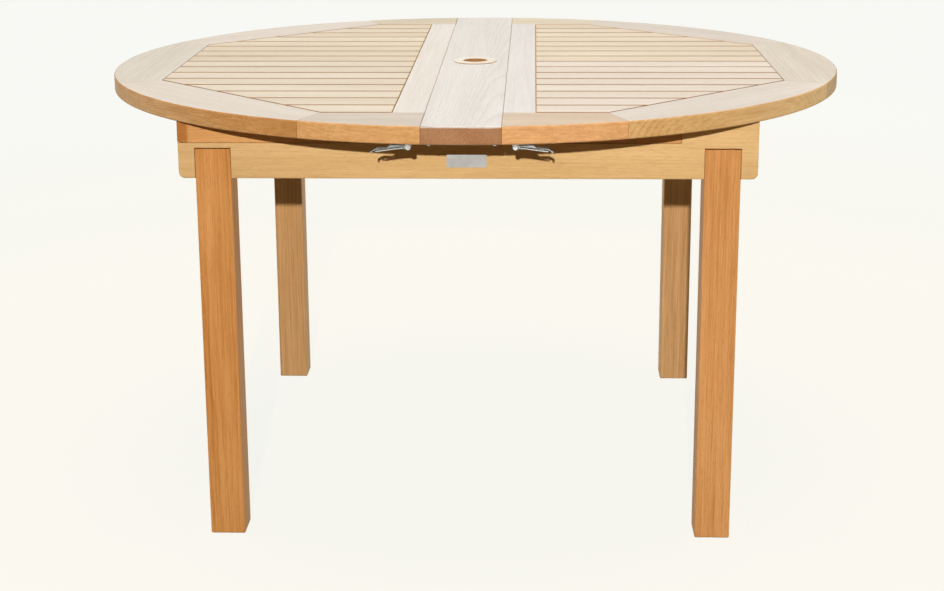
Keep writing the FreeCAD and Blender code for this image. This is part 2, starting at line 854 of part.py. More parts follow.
def latch_pin():
    head_inner = lever_width / 2 + latch_side_gap + latch_ear_thickness
    head_outer = head_inner + latch_pin_head_height
    pin = latch_cross_rod(latch_pin_radius, 0, 0, head_outer)
    heads = [rod(latch_pin_head_radius, latch_point(0, 0, side * head_inner),
                 latch_point(0, 0, side * head_outer)) for side in (-1, 1)]
    return pin.fuse(heads).removeSplitter()


def latch_screws():
    screws = []
    for u in latch_screw_places():
        top = latch_pivot_drop - latch_plate_thickness
        start = latch_point(u, top - bracket_screw_head_height)
        neck = latch_point(u, top)
        tip = latch_point(u, latch_pivot_drop + bracket_screw_length)
        head = rod(bracket_screw_head_radius, start, neck)
        screws.append(head.fuse(rod(bracket_screw_radius, start, tip)).removeSplitter())
    return screws


def latch_lever():
    half = lever_width / 2
    deep = lever_half_depth
    neck = lever_neck_half_depth
    cheek = [(-neck, -neck, neck / 2), (lever_neck_length, -neck, neck), (lever_belly_start, -deep, neck),
             (lever_channel_length, -deep, 0), (lever_channel_length, -lever_channel_end_depth, 0),
             (lever_belly_end, deep, neck), (lever_belly_start, deep, neck),
             (lever_neck_length, neck, neck), (-neck, neck, neck)]
    cheeks = [latch_slab(cheek, half - lever_wall, half), latch_slab(cheek, -half, lever_wall - half)]
    blade_top = -deep + lever_wall
    tip_low = -deep - lever_tip_drop
    blade = [(lever_belly_start, -deep, 0), (lever_bend_start, -deep, lever_bend_round + lever_wall),
             (lever_length - lever_wall / 2, tip_low, 0),
             (lever_length, tip_low + lever_wall, lever_wall / 4),
             (lever_bend_start, blade_top, lever_bend_round), (lever_belly_start, blade_top, 0)]
    roll = latch_cross_rod(lever_tip_roll_radius, lever_length - lever_tip_roll_radius / 2,
                           tip_low + lever_wall - lever_tip_roll_radius, half)
    lever = latch_slab(blade, -half, half).fuse(cheeks + [roll]).removeSplitter()
    window = latch_slab([(lever_channel_length, -deep - lever_wall, 0),
                         (lever_bend_start, -deep - lever_wall, 0),
                         (lever_bend_start, 0, 0), (lever_channel_length, 0, 0)],
                        lever_arm_width - half, half - lever_arm_width)
    lever = lever.cut(window)
    lever = lever.cut(latch_cross_rod(latch_pin_radius + latch_pin_slack, 0, 0, lever_width))
    return lever.cut(latch_cross_rod(bail_wire_radius + bail_hole_slack, bail_pin_offset, 0,
                                     lever_width))


def latch_bail():
    """Wire loop that hooks on the keeper, folded back under the lever."""
    side_v = lever_width / 2 + bail_side_gap + bail_wire_radius
    end_v = lever_width / 2 - lever_wall - bail_end_reach
    near_u = bail_pin_offset
    far_u = near_u + bail_length
    end_bend = bail_end_bend_round
    bend = bail_bend_round
    inside_share = 1 - math.sqrt(0.5)
    path = []

    def straight(start, end):
        path.append(Part.LineSegment(latch_point(*start), latch_point(*end)).toShape())

    def corner(start, middle, end):
        path.append(Part.Arc(latch_point(*start), latch_point(*middle), latch_point(*end)).toShape())

    for side in (-1, 1):
        edge = side * side_v
        end_inner = side * (side_v - end_bend)
        end_round = side * (side_v - end_bend * inside_share)
        straight((near_u, 0, side * end_v), (near_u, 0, end_inner))
        corner((near_u, 0, end_inner), (near_u + end_bend * inside_share, 0, end_round),
               (near_u + end_bend, 0, edge))
        straight((near_u + end_bend, 0, edge), (far_u - bend, 0, edge))
        corner((far_u - bend, 0, edge),
               (far_u - bend * inside_share, 0, side * (side_v - bend * inside_share)),
               (far_u, 0, side * (side_v - bend)))
    straight((far_u, 0, -(side_v - bend)), (far_u, 0, side_v - bend))
    start = latch_point(near_u, 0, -end_v)
    profile = Part.Wire(Part.makeCircle(bail_wire_radius, start, at(0, 1, 0)))
    spine = Part.Wire(Part.__sortEdges__(path))
    bail = spine.makePipeShell([profile], True, False)
    bail.rotate(latch_point(near_u, 0), at(0, -1, 0), bail_rest_angle)
    return bail


def latch_keeper():
    """Hook plate under the centre board, open towards the middle."""
    outer = -(board_half - keeper_edge_inset)
    inner = outer + keeper_length
    wall = latch_plate_thickness
    lip = outer + keeper_lip
    hook_z = under_z - keeper_drop
    outline = [(outer, under_z, 0), (outer, hook_z, wall), (lip, hook_z, 0),
               (lip, hook_z + wall, 0), (outer + wall, hook_z + wall, 0),
               (outer + wall, under_z - wall, 0), (inner, under_z - wall, 0), (inner, under_z, 0)]
    middle = -latch_pivot_y
    return slab_xz(outline, middle - keeper_width / 2, middle + keeper_width / 2)


def keeper_screw():
    x = -(board_half - keeper_edge_inset) + keeper_screw_place
    low = under_z - latch_plate_thickness - bracket_screw_head_height
    start = at(x, -latch_pivot_y, low)
    head = rod(bracket_screw_head_radius, start, at(x, -latch_pivot_y, under_z - latch_plate_thickness))
    shank = rod(bracket_screw_radius, start, at(x, -latch_pivot_y, under_z + bracket_screw_length))
    return head.fuse(shank).removeSplitter()


# The bare plate on the front apron

def name_plate_middle_z():
    return notch_floor_z - name_plate_drop


def name_plate():
    middle = name_plate_middle_z()
    half_x = name_plate_length / 2
    half_z = name_plate_height / 2
    outline = [(-half_x, middle - half_z, name_plate_corner),
               (half_x, middle - half_z, name_plate_corner),
               (half_x, middle + half_z, name_plate_corner),
               (-half_x, middle + half_z, name_plate_corner)]
    return slab_xz(outline, -apron_face - name_plate_thickness, -apron_face)


def name_plate_pins():
    pins = []
    for side in (-1, 1):
        x = side * (name_plate_length / 2 - name_plate_pin_inset)
        face = at(x, -apron_face - name_plate_thickness, name_plate_middle_z())
        front = face - at(0, name_plate_pin_head_height, 0)
        head = rod(name_plate_pin_head_radius, front, face)
        shank = rod(name_plate_pin_radius, front, face + at(0, name_plate_pin_length, 0))
        pins.append(head.fuse(shank).removeSplitter())
    return pins


def without(solids, cutters):
    """Solids drilled by whatever passes through them."""
    drilled = []
    for solid in solids:
        near = [cutter for cutter in cutters if solid.BoundBox.intersect(cutter.BoundBox)]
        drilled.append(solid.cut(near) if near else solid)
    return drilled


def all_four(solid):
    """A piece of the front left corner at all four corners."""
    front_right = across_x(solid)
    return [solid, front_right, turned(solid), turned(front_right)]


def save_pair(name, left_solids):
    """A group of the left half, and its twin of the right half."""
    save("left_" + name, left_solids)
    save("right_" + name, [turned(solid) for solid in left_solids])


os.makedirs("parts", exist_ok=True)

# Write the half tops
latch_bases = [latch_base(), across_y(latch_base())]
latch_pins = [latch_pin(), across_y(latch_pin())]
plate_screws = latch_screws() + [across_y(piece) for piece in latch_screws()]
rail_screws = left_rail_screws()
half_screws = rail_screws + plate_screws
ring = rim_ring()
rim_boards = [left_rim_board(ring, index) for index in range(5)]
left_inner_rail = turned(front_inner_rail())

save_pair("rim_sides", without([rim_boards[0], rim_boards[4]], half_screws))
save_pair("rim_corners", without([rim_boards[1], rim_boards[3]], half_screws))
save_pair("rim_end", [rim_boards[2]])
save_pair("stile", without([left_stile()], half_screws))
save_pair("slats", left_slats())
save_pair("battens", without(left_battens(), half_screws))
save_pair("outer_rail", without([front_outer_rail()], rail_screws + rail_counterbores()))
save_pair("inner_rail", without([left_inner_rail], rail_screws + rail_counterbores()))
save_pair("stop_block", [turned(front_stop_block())])
save_pair("latch_bases", without(latch_bases, plate_screws))
save_pair("latch_pins", latch_pins)
save_pair("screws", half_screws)

# Write the latch levers and bails
for name, solid in (("lever", latch_lever()), ("bail", latch_bail())):
    save("left_front_" + name, [solid])
    save("left_back_" + name, [across_y(solid)])
    save("right_back_" + name, [turned(solid)])
    save("right_front_" + name, [turned(across_y(solid))])

# Write the frame
front_left = front_left_leg()
front_right = across_x(front_left)
save("front_left_leg", [front_left])
save("front_right_leg", [front_right])
save("back_right_leg", [turned(front_left)])
save("back_left_leg", [turned(front_right)])

runner_screws = front_runner_screws()
plate_pins = name_plate_pins()
bracket_screws = right_bracket_screws() + [turned(piece) for piece in right_bracket_screws()]
keeper_screws = all_four(keeper_screw())
apron = without([front_apron()], runner_screws)[0]
save("front_apron", without([apron], plate_pins))
save("back_apron", [turned(apron)])
ledge = without([front_ledge()], runner_screws)[0]
guide = without([front_guide_strip()], runner_screws)[0]
save("front_ledge", [ledge])
save("back_ledge", [turned(ledge)])
save("front_guide_strip", [guide])
save("back_guide_strip", [turned(guide)])
save("left_end_rail", [left_end_rail()])
save("right_end_rail", [turned(left_end_rail())])
cross_rail = without([right_cross_rail()], bracket_screws)[0]
save("right_cross_rail", [cross_rail])
save("left_cross_rail", [turned(cross_rail)])
save("corner_blocks", all_four(front_left_corner_block()))
bolt_pieces = []
for piece in front_left_leg_bolt():
    bolt_pieces.extend(all_four(piece))
save("leg_bolts", bolt_pieces)
save("leaf_bearers", leaf_bearers())
save("centre_board", without([centre_board()], bracket_screws + keeper_screws))
save("parasol_ring", [parasol_ring()])
brackets = right_brackets() + [turned(piece) for piece in right_brackets()]
save("centre_board_brackets", without(brackets, bracket_screws))
save("latch_keepers", without(all_four(latch_keeper()), keeper_screws))
frame_screws = runner_screws + [turned(piece) for piece in runner_screws]
save("frame_screws", frame_screws + bracket_screws + keeper_screws)
save("name_plate", without([name_plate()], plate_pins))
save("name_plate_pins", plate_pins)

# Write the folded leaves
lower_panel = left_leaf_panel(bearer_top_z)
upper_panel = left_leaf_panel(fold_z)
hinges = left_leaf_hinges()
save("leaf_lower_panels", [lower_panel, turned(lower_panel)])
save("leaf_upper_panels", [upper_panel, turned(upper_panel)])
save("leaf_hinges", hinges + [turned(piece) for piece in hinges])
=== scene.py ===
"""Round extending garden table: materials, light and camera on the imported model."""
from math import cos, radians, sin, sqrt

import bpy
from mathutils import Matrix, Vector

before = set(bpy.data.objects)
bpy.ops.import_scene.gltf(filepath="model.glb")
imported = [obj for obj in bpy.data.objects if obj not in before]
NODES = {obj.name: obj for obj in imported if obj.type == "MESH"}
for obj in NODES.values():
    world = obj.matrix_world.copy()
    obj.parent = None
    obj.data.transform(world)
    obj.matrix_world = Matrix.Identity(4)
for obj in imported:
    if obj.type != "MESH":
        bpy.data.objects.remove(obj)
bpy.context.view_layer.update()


# ---------------------------------------------------------------- node trees

def srgb(red, green, blue):
    """A colour given as 0 to 255 on screen, as the shader's linear RGBA."""
    def linear(value):
        value /= 255
        return value / 12.92 if value <= 0.04045 else ((value + 0.055) / 1.055) ** 2.4
    return (linear(red), linear(green), linear(blue), 1.0)


class Shader:
    """The emptied node tree of a material or world, with short ways to add its nodes. Unless
    said otherwise, each returns an output socket, and values are sockets or numbers."""

    def __init__(self, owner):
        owner.use_nodes = True
        self.tree = owner.node_tree
        self.tree.nodes.clear()

    def node(self, kind, inputs=(), **settings):
        """A node itself, with its inputs linked to sockets or set to values."""
        made = self.tree.nodes.new("ShaderNode" + kind)
        for name, value in settings.items():
            setattr(made, name, value)
        for name, value in dict(inputs).items():
            if isinstance(value, bpy.types.NodeSocket):
                self.tree.links.new(value, made.inputs[name])
            else:
                made.inputs[name].default_value = value
        return made

    def math(self, operation, *values, clamp=False):
        return self.node("Math", enumerate(values), operation=operation,
                         use_clamp=clamp).outputs[0]

    def times(self, first, second):
        return self.math("MULTIPLY", first, second)

    def plus(self, first, second, clamp=False):
        return self.math("ADD", first, second, clamp=clamp)

    def minus(self, first, second):
        return self.math("SUBTRACT", first, second)

    def size(self, value):
        return self.math("ABSOLUTE", value)

    def distance(self, x, y):
        return self.math("SQRT", self.plus(self.times(x, x), self.times(y, y)))

    def dot(self, first, second):
        return self.node("VectorMath", enumerate((first, second)),
                         operation="DOT_PRODUCT").outputs["Value"]

    def join(self, x, y, z):
        return self.node("CombineXYZ", {"X": x, "Y": y, "Z": z}).outputs[0]

    def split(self, value):
        """The three parts of a vector."""
        return self.node("SeparateXYZ", {"Vector": value}).outputs

    def noise(self, place, detail, rough, scale=1.0):
        return self.node("TexNoise", {"Vector": place, "Scale": scale, "Detail": detail,
                                      "Roughness": rough}).outputs[0]

    def ramp(self, value, low, high, at_low=0.0, at_high=1.0):
        """A smooth step from at_low, where value is low, to at_high."""
        return self.node("MapRange", {"Value": value, "From Min": low, "From Max": high,
                                      "To Min": at_low, "To Max": at_high},
                         interpolation_type="SMOOTHSTEP").outputs[0]

    def mix(self, share, first, second, blend="MIX"):
        """first, with second over it by share."""
        return self.node("Mix", ((0, share), (6, first), (7, second)),
                         data_type="RGBA", blend_type=blend).outputs[2]

    def tinted(self, colour, tint):
        return self.mix(1.0, colour, tint, "MULTIPLY")

    def add_all(self, *terms):
        """Sum of (value - middle) * weight over the terms."""
        total = None
        for value, middle, weight in terms:
            part = self.times(self.minus(value, middle), weight)
            total = part if total is None else self.plus(total, part)
        return total

    def edges(self, radius):
        """Share of wear: 0 on a flat face, up to 1 on a sharp outer edge; and the soft normal."""
        soft = self.node("Bevel", {"Radius": radius}, samples=4).outputs[0]
        true = self.node("NewGeometry").outputs["True Normal"]
        return self.ramp(self.dot(soft, true), 0.995, 0.80), soft

    def show(self, surface, output="OutputMaterial"):
        """Makes a node's shader the surface of the whole tree."""
        self.tree.links.new(surface.outputs[0], self.node(output).inputs["Surface"])

    def dress(self, colour, rough, height, depth, normal, **plain):
        """Shows a principled surface whose bumps are height * depth metres high."""
        bump = self.node("Bump", {"Strength": 1.0, "Distance": depth, "Height": height,
                                  "Normal": normal}).outputs[0]
        self.show(self.node("BsdfPrincipled", {"Base Color": colour, "Roughness": rough,
                                               "Normal": bump, **plain}))


def assign(node, material):
    slots = NODES[node].material_slots
    if not slots:
        NODES[node].data.materials.append(material)
    for slot in slots:
        slot.material = material


# ---------------------------------------------------------------- wood

# Directions along, across and through a board, by the name of its grain
DIAGONAL = sqrt(0.5)
GRAINS = {
    "x": ((1, 0, 0), (0, 1, 0), (0, 0, 1)),
    "y": ((0, 1, 0), (1, 0, 0), (0, 0, 1)),
    "z": ((0, 0, 1), (1, 0, 0), (0, 1, 0)),
    "corner": ((-DIAGONAL, DIAGONAL, 0), (DIAGONAL, DIAGONAL, 0), (0, 0, 1)),
}

# The share of y of the first slat begins here, and each next one a pitch behind it
PITCH = 0.06625
FIRST_SLAT = -0.53

# How many of each mark there are in a metre, along the grain and across it
WAVER, BROAD, STREAK, FIBRE, PORE = (1.9, 13), (2.6, 18), (4.0, 260), (14, 1100), (70, 1900)
BOARD_SHIFT = 9.0               # how far apart in the trunk two boards may be cut, in metres
RING_WANDER = 0.014             # how far the growth rings waver, in metres
PITH_TURN = 2.4                 # range of the chance angle from a board to its pith, in radians
PITH_LEAN, PITH_RISE = 0.05, 0.02   # range of its slope across the board, and its slope through it
USUAL_RING = 0.15               # mean share of the dark line of a ring
MIDDLE_TONE = 0.55
TOP_GRAIN = 0.8                 # share of the grain that is left on the pale upward faces, paled by painted light
PORE_DEPTH = 0.12
END_GRAIN = (0.72, 0.62, 0.56, 1)
DEEP_BROWN = (0.04, 0.015, 0.004, 1)
ARRIS_ROUND = 0.0018
WOOD_RELIEF = 0.0003
WOOD_SPECULAR = 0.15


def tones(red, green, blue, spread=1.0):
    """Darkest and lightest colour of a board round its mean colour, given as on screen."""
    dark = srgb(red - 24 * spread, green - 27 * spread, blue - 27 * spread)
    light = srgb(*(min(part + step * spread, 255)
                   for part, step in ((red, 17), (green, 19), (blue, 20))))
    return dark, light


def middle(node, axis, fold):
    """Middle of a node along an axis, with the folded coordinates taken as positive."""
    reach = []
    for vertex in NODES[node].data.vertices:
        place = Vector([abs(part) if letter in fold else part
                        for letter, part in zip("xyz", vertex.co)])
        reach.append(place.dot(Vector(axis)))
    return (min(reach) + max(reach)) / 2


def wood(node, grain, face, top=None, back_top=None, seed=1.0, fold="", boards=(0, 0, 0),
         vary=0.35, cut=None, pith=0.11, rings=225.0, figure=(0.3, 0.15, 0.5), lines=1.0,
         rough=0.5, wear=0.3, arris=(0.45, 0.8), detail=None):
    """Solid timber. Growth rings round a pith beside each board, so that every face shows its
    own cut of the same trunk, then fibres, pores, end grain and worn edges, and painted light
    that makes upward faces pale.
    face, top, back_top: pairs of tones for all faces, for upward ones, and for upward ones
    behind the middle; the paler tones of upward faces are painted light.
    seed, fold, boards: tell the boards of a node apart, by the sides of the middle that they
        lie on and by the whole part of place . boards, plus a half.
    vary: how much the boards' tones differ.
    cut: the angle from the board's thickness to its pith, in degrees, or None for chance.
    pith, rings: the pith's distance from the board, in metres, and the rings in a metre.
    figure: how much the rings show on side faces, on upward faces and on end grain.
    lines, rough, wear: the strength of the fibres, the roughness, and the darkness of worn edges.
    arris: how far a face turns up where the colour of the top begins and where it is whole.
    detail: a function that paints what only this board has."""
    material = bpy.data.materials.new("wood_" + node)
    s = Shader(material)
    coordinates = s.node("TexCoord").outputs
    raw, facing = coordinates["Object"], coordinates["Normal"]
    x, y, z = s.split(raw)
    number = s.math("FLOOR", s.plus(s.dot(raw, boards), 0.5))
    folded, turned = [], []
    for letter, part, turn, weight in zip("xyz", (x, y, z), s.split(facing), (1, 2, 4)):
        if letter in fold:
            number = s.math("MULTIPLY_ADD", s.math("GREATER_THAN", part, 0.0), weight, number)
            turn = s.times(turn, s.math("SIGN", part))
            part = s.size(part)
        folded.append(part)
        turned.append(turn)
    place = s.join(*folded)
    lengthwise, crosswise, deepwise = GRAINS[grain]
    along = s.dot(place, lengthwise)
    across = s.minus(s.dot(place, crosswise), middle(node, crosswise, fold))
    deep = s.minus(s.dot(place, deepwise), middle(node, deepwise, fold))
    if node.endswith("_slats"):
        step = s.math("DIVIDE", s.minus(y, FIRST_SLAT), PITCH)
        number = s.math("FLOOR", step)
        across = s.times(s.minus(s.math("FRACT", step), 0.5), PITCH)
    number = s.plus(number, seed)
    chance = s.split(s.node("TexWhiteNoise", {"W": number}, noise_dimensions="1D").outputs[1])
    shift = s.math("MULTIPLY_ADD", chance[0], BOARD_SHIFT, along)
    upward = s.ramp(turned[2], *arris)
    endwise = s.size(s.dot(s.join(*turned), lengthwise))

    def marks(counts, detail, rough=0.5):
        length, width = counts
        return s.noise(s.join(s.times(shift, length), s.times(across, width),
                              s.times(deep, width)), detail, rough)

    # The pith leans a little along the board, which draws arches on a face cut beside it
    angle = radians(cut) if cut is not None else s.times(s.minus(chance[1], 0.5), PITH_TURN)
    lean = s.times(s.minus(chance[2], 0.5), PITH_LEAN)
    side = s.math("MULTIPLY_ADD", s.math("SINE", angle), pith, across)
    side = s.plus(side, s.times(lean, along))
    below = s.math("MULTIPLY_ADD", s.math("COSINE", angle), pith, deep)
    below = s.plus(below, s.times(along, PITH_RISE))
    radius = s.math("MULTIPLY_ADD", marks(WAVER, 3), RING_WANDER, s.distance(side, below))
    ring = s.math("FRACT", s.times(radius, rings))
    ring = s.times(s.math("POWER", ring, 4.0), s.ramp(ring, 1.0, 0.90))

    broad, streak, fibre = marks(BROAD, 2), marks(STREAK, 3, 0.65), marks(FIBRE, 2, 0.6)
    pores = s.ramp(marks(PORE, 1), 0.58, 0.74)
    grainy = s.add_all((streak, 0.5, 1.3 * lines), (fibre, 0.5, 1.1 * lines))
    calm = s.plus(s.add_all((broad, 0.5, 0.9), (chance[2], 0.5, vary)), MIDDLE_TONE)

    def tone_with(marked, shown):
        return s.plus(marked, s.times(s.minus(USUAL_RING, ring), shown), clamp=True)

    on_side, on_top, on_end = figure
    tone = tone_with(s.plus(calm, grainy),
                     s.math("MULTIPLY_ADD", endwise, on_end - on_side, on_side))
    colour = s.mix(tone, *face)
    # The paler colour of upward faces is painted light: a lit top with sheen, set apart from the
    # warmer sides.
    if top:
        tone = tone_with(s.math("MULTIPLY_ADD", grainy, TOP_GRAIN, calm), on_top)
        painted_light_top = s.mix(tone, *top)
        # Behind the middle the painted light of the top has tones of its own.
        if back_top:
            painted_light_top = s.mix(s.math("GREATER_THAN", y, 0.0), painted_light_top, s.mix(tone, *back_top))
        colour = s.mix(upward, colour, painted_light_top)
    colour = s.tinted(colour, s.mix(chance[0], (0.975, 0.97, 0.96, 1), (1.02, 1.02, 1.03, 1)))
    if detail:
        colour = detail(s, folded, turned, colour)

    colour = s.mix(s.times(pores, PORE_DEPTH * lines), colour, s.mix(0.55, face[0], DEEP_BROWN))
    worn, soft = s.edges(ARRIS_ROUND)
    scuffed = s.times(worn, s.ramp(streak, 0.38, 0.62, 0.3 * wear, wear))
    colour = s.mix(scuffed, colour, face[0])
    colour = s.mix(s.ramp(endwise, 0.30, 0.97), colour, s.tinted(colour, END_GRAIN))

    gloss = s.plus(s.add_all((tone, 0.5, -0.14), (fibre, 0.5, 0.3), (pores, 0.0, 0.10),
                             (worn, 0.0, -0.06)), rough, clamp=True)
    height = s.add_all((fibre, 0.5, 0.7), (streak, 0.5, 0.5), (ring, 0.0, -0.3),
                       (pores, 0.0, -0.6))
    s.dress(colour, gloss, height, WOOD_RELIEF, soft, **{"Specular IOR Level": WOOD_SPECULAR})
    assign(node, material)


# What only some boards have, some of it painted shade and painted light.

def gap_faces(s, folded, turned, colour):
    """Slats: painted shade, brown, on their sides in the gaps, and a painted pale band of light on
    their ends along the stile.
    """
    # Painted shade: the sides of the slats, down in the gaps, darker and browner, less so on their
    # ends.
    sides = s.ramp(s.size(turned[2]), 0.99, 0.70)
    sides = s.times(sides, s.ramp(s.size(turned[0]), 0.2, 0.6, 1.0, 0.35))
    # Painted light: a pale band on the slat ends beside the stile.
    painted_light_near_stile = s.times(s.ramp(folded[0], 0.1150, 0.1132), 0.55)
    colour = s.mix(painted_light_near_stile, colour, srgb(240, 208, 150))
    return s.mix(sides, colour, s.tinted(colour, (0.48, 0.35, 0.13, 1)))


def rail_end(s, folded, turned, colour):
    """Outer rail: painted shade that makes its end darker and redder, and a paler lower corner
    behind an arc.
    """
    red_from, red_to = 0.4455, 0.4515
    arc_x, arc_z, arc_radius = 0.4535, 0.6913, 0.0160
    # Painted shade: the rail's end is made darker and redder.
    colour = s.mix(s.ramp(folded[0], red_from, red_to), colour,
                   s.tinted(colour, (0.69, 0.52, 0.36, 1)))
    out = s.math("MAXIMUM", s.minus(folded[0], arc_x), 0.0)
    down = s.math("MAXIMUM", s.minus(arc_z, folded[2]), 0.0)
    reach = s.distance(out, down)
    colour = s.mix(s.ramp(reach, arc_radius - 0.0002, arc_radius + 0.0002), colour,
                   srgb(224, 178, 120))
    line = s.ramp(s.size(s.minus(reach, arc_radius)), 0.0007, 0.0004)
    line = s.times(line, s.math("GREATER_THAN", folded[0], arc_x))
    return s.mix(line, colour, srgb(112, 68, 30))


def ring_faces(s, folded, turned, colour):
    """Parasol ring: brown inside the hole, and a line of painted shade where it meets the board.
    """
    x, y, z = folded
    radius = s.distance(x, y)
    lining = s.times(s.ramp(radius, 0.0242, 0.0230), s.ramp(z, 0.7440, 0.7430))
    colour = s.mix(lining, colour, srgb(210, 164, 104))
    # Painted shade: a dark line where the ring meets the board.
    painted_contact_shade = s.times(s.ramp(radius, 0.036, 0.038), s.ramp(z, 0.7430, 0.7424))
    return s.mix(painted_contact_shade, colour, srgb(112, 86, 50))


def duller_end(s, folded, turned, colour):
    """Front apron: a little darker towards its left end."""
    dull = s.tinted(colour, (0.89, 0.87, 0.86, 1))
    return s.mix(s.ramp(folded[0], -0.42, -0.12), dull, colour)


# The two halves, board by board: face, top and where it differs the top behind the middle; the
# pale tops and those behind the middle are painted light
HALVES = {
    "left_": {
        "seed": 0,
        "sides": (tones(220, 165, 105), tones(219, 206, 191, 0.8), tones(226, 211, 188, 0.7)),
        "corners": (tones(196, 139, 78, 1.3), tones(232, 221, 208, 0.6)),
        "end": (tones(196, 150, 98), tones(225, 215, 200, 0.7)),
        "stile": (tones(220, 166, 108), tones(241, 233, 224, 0.5)),
        "slats": (tones(206, 152, 92), tones(232, 218, 197, 0.6), tones(233, 217, 193, 0.6)),
        "cuts": (28, -66, 60),
        "corner_rings": {"pith": 0.2, "rings": 540, "figure": (0.05, 0.12, 3.8)},
    },
    "right_": {
        "seed": 50,
        "sides": (tones(228, 170, 112), tones(220, 198, 173, 0.8), tones(230, 214, 190, 0.7)),
        "corners": (tones(223, 176, 116), tones(228, 217, 204, 0.6)),
        "end": (tones(204, 162, 112), tones(230, 218, 201, 0.7)),
        "stile": (tones(220, 166, 108), tones(237, 231, 227, 0.5)),
        "slats": (tones(206, 152, 92), tones(238, 225, 209, 0.6), tones(237, 220, 196, 0.6)),
        "cuts": (-32, -80, 50),
        "corner_rings": {"pith": 0.1, "rings": 225, "figure": (0.05, 0.12, 1.8)},
    },
}
RIM = {"vary": 0.0, "arris": (0.85, 0.98), "wear": 0.7}
EARLY_TOP = (0.1, 0.5)          # arris of boards whose painted-light top colour starts low on the rounding
for side, half in HALVES.items():
    seed = half["seed"]
    side_cut, corner_cut, end_cut = half["cuts"]
    wood(side + "rim_sides", "x", *half["sides"], seed=seed + 24, fold="xy", cut=side_cut,
         figure=(0.2, 0.12, 0.3), **RIM)
    wood(side + "rim_corners", "corner", *half["corners"], seed=seed + 27, fold="xy",
         cut=corner_cut, **half["corner_rings"], **RIM)
    wood(side + "rim_end", "y", *half["end"], seed=seed + 30, cut=end_cut,
         figure=(0.15, 0.12, 0.3), **RIM)
    wood(side + "stile", "y", *half["stile"], seed=seed + 21, vary=0.0, arris=EARLY_TOP)
    wood(side + "slats", "x", *half["slats"], seed=seed + 3, fold="x", vary=0.3,
         arris=(0.75, 0.97), detail=gap_faces)
    wood(side + "outer_rail", "x", tones(219, 159, 96), seed=seed + 32, fold="x", vary=0.0,
         lines=0.6, detail=rail_end)
    wood(side + "inner_rail", "x", tones(206, 148, 88), seed=seed + 33)
    wood(side + "battens", "y", tones(204, 156, 100), seed=seed + 34, boards=(8.5, 0, 0),
         rough=0.6)
    wood(side + "stop_block", "y", tones(196, 146, 90), seed=seed + 38, rough=0.6)
    wood(side + "end_rail", "y", tones(204, 148, 86), seed=seed + 39, lines=0.7)
    wood(side + "cross_rail", "y", tones(202, 152, 96), seed=seed + 40, rough=0.6)

# The frame
wood("centre_board", "y", tones(206, 160, 119, 1.1), tones(236, 230, 224, 0.5), seed=101, cut=-40,
     pith=0.10, rings=260, vary=0.0, arris=EARLY_TOP, figure=(0.1, 0.6, 0.45), lines=0.8)
# Its pale tones on every face are the painted light of the tops, carried over the whole ring.
wood("parasol_ring", "y", tones(242, 230, 210, 0.6), tones(242, 232, 216, 0.6), seed=102,
     vary=0.0, detail=ring_faces)
APRON = {"vary": 0.0, "lines": 0.5, "figure": (0.12, 0.1, 0.3)}
wood("front_apron", "x", tones(234, 192, 132), seed=103, cut=30, detail=duller_end, **APRON)
wood("back_apron", "x", tones(231, 187, 127), seed=104, cut=-30, **APRON)
for node, seed, mean in (("front_left_leg", 105, (212, 146, 80)),
                         ("front_right_leg", 106, (218, 152, 88)),
                         ("back_left_leg", 107, (216, 164, 107)),
                         ("back_right_leg", 108, (225, 173, 117))):
    wood(node, "z", tones(*mean), seed=seed, vary=0.0, figure=(0.25, 0.15, 0.4), lines=1.2)
for node, seed in (("front_ledge", 110), ("back_ledge", 111), ("front_guide_strip", 112),
                   ("back_guide_strip", 113)):
    wood(node, "x", tones(200, 150, 94), seed=seed, rough=0.6)
wood("corner_blocks", "z", tones(204, 156, 100), seed=120, fold="xy", rough=0.6)
wood("leaf_bearers", "x", tones(198, 148, 92), seed=130, fold="xy", rough=0.6)
for node, seed in (("leaf_lower_panels", 140), ("leaf_upper_panels", 145)):
    wood(node, "y", tones(216, 166, 108), seed=seed, fold="x", lines=0.7)


# ---------------------------------------------------------------- metal

LINE_COUNTS = (40, 2600)        # brush lines in a metre, along them and across
METAL_ROUND = 0.0006
METAL_RELIEF = 0.00004


def metal(nodes, name, colour, along, rough, brush=1.0, tarnish=0.25):
    """Drawn or brushed metal: fine lines along one direction, dull patches, brighter edges."""
    material = bpy.data.materials.new("metal_" + name)
    s = Shader(material)
    place = s.node("TexCoord").outputs["Object"]
    lines = s.noise(s.join(*(s.times(part, LINE_COUNTS[axis != along])
                             for axis, part in zip("xyz", s.split(place)))), 3, 0.6)
    patches = s.noise(place, 4, 0.6, scale=55)
    worn, soft = s.edges(METAL_ROUND)
    dull = (*(part * 0.62 for part in colour), 1)
    bright = (*(min(1, part * 1.15) for part in colour), 1)
    tint = s.mix(s.ramp(patches, 0.38, 0.66, 0.0, tarnish), (*colour, 1), dull)
    tint = s.mix(s.times(s.ramp(lines, 0.35, 0.70), 0.3 * brush), tint, dull)
    tint = s.mix(s.times(worn, 0.6), tint, bright)
    gloss = s.plus(s.add_all((lines, 0.5, 0.35 * brush), (patches, 0.5, 0.35),
                             (worn, 0.0, -0.08)), rough, clamp=True)
    s.dress(tint, gloss, lines, METAL_RELIEF * brush, soft, Metallic=1.0)
    for node in nodes:
        assign(node, material)


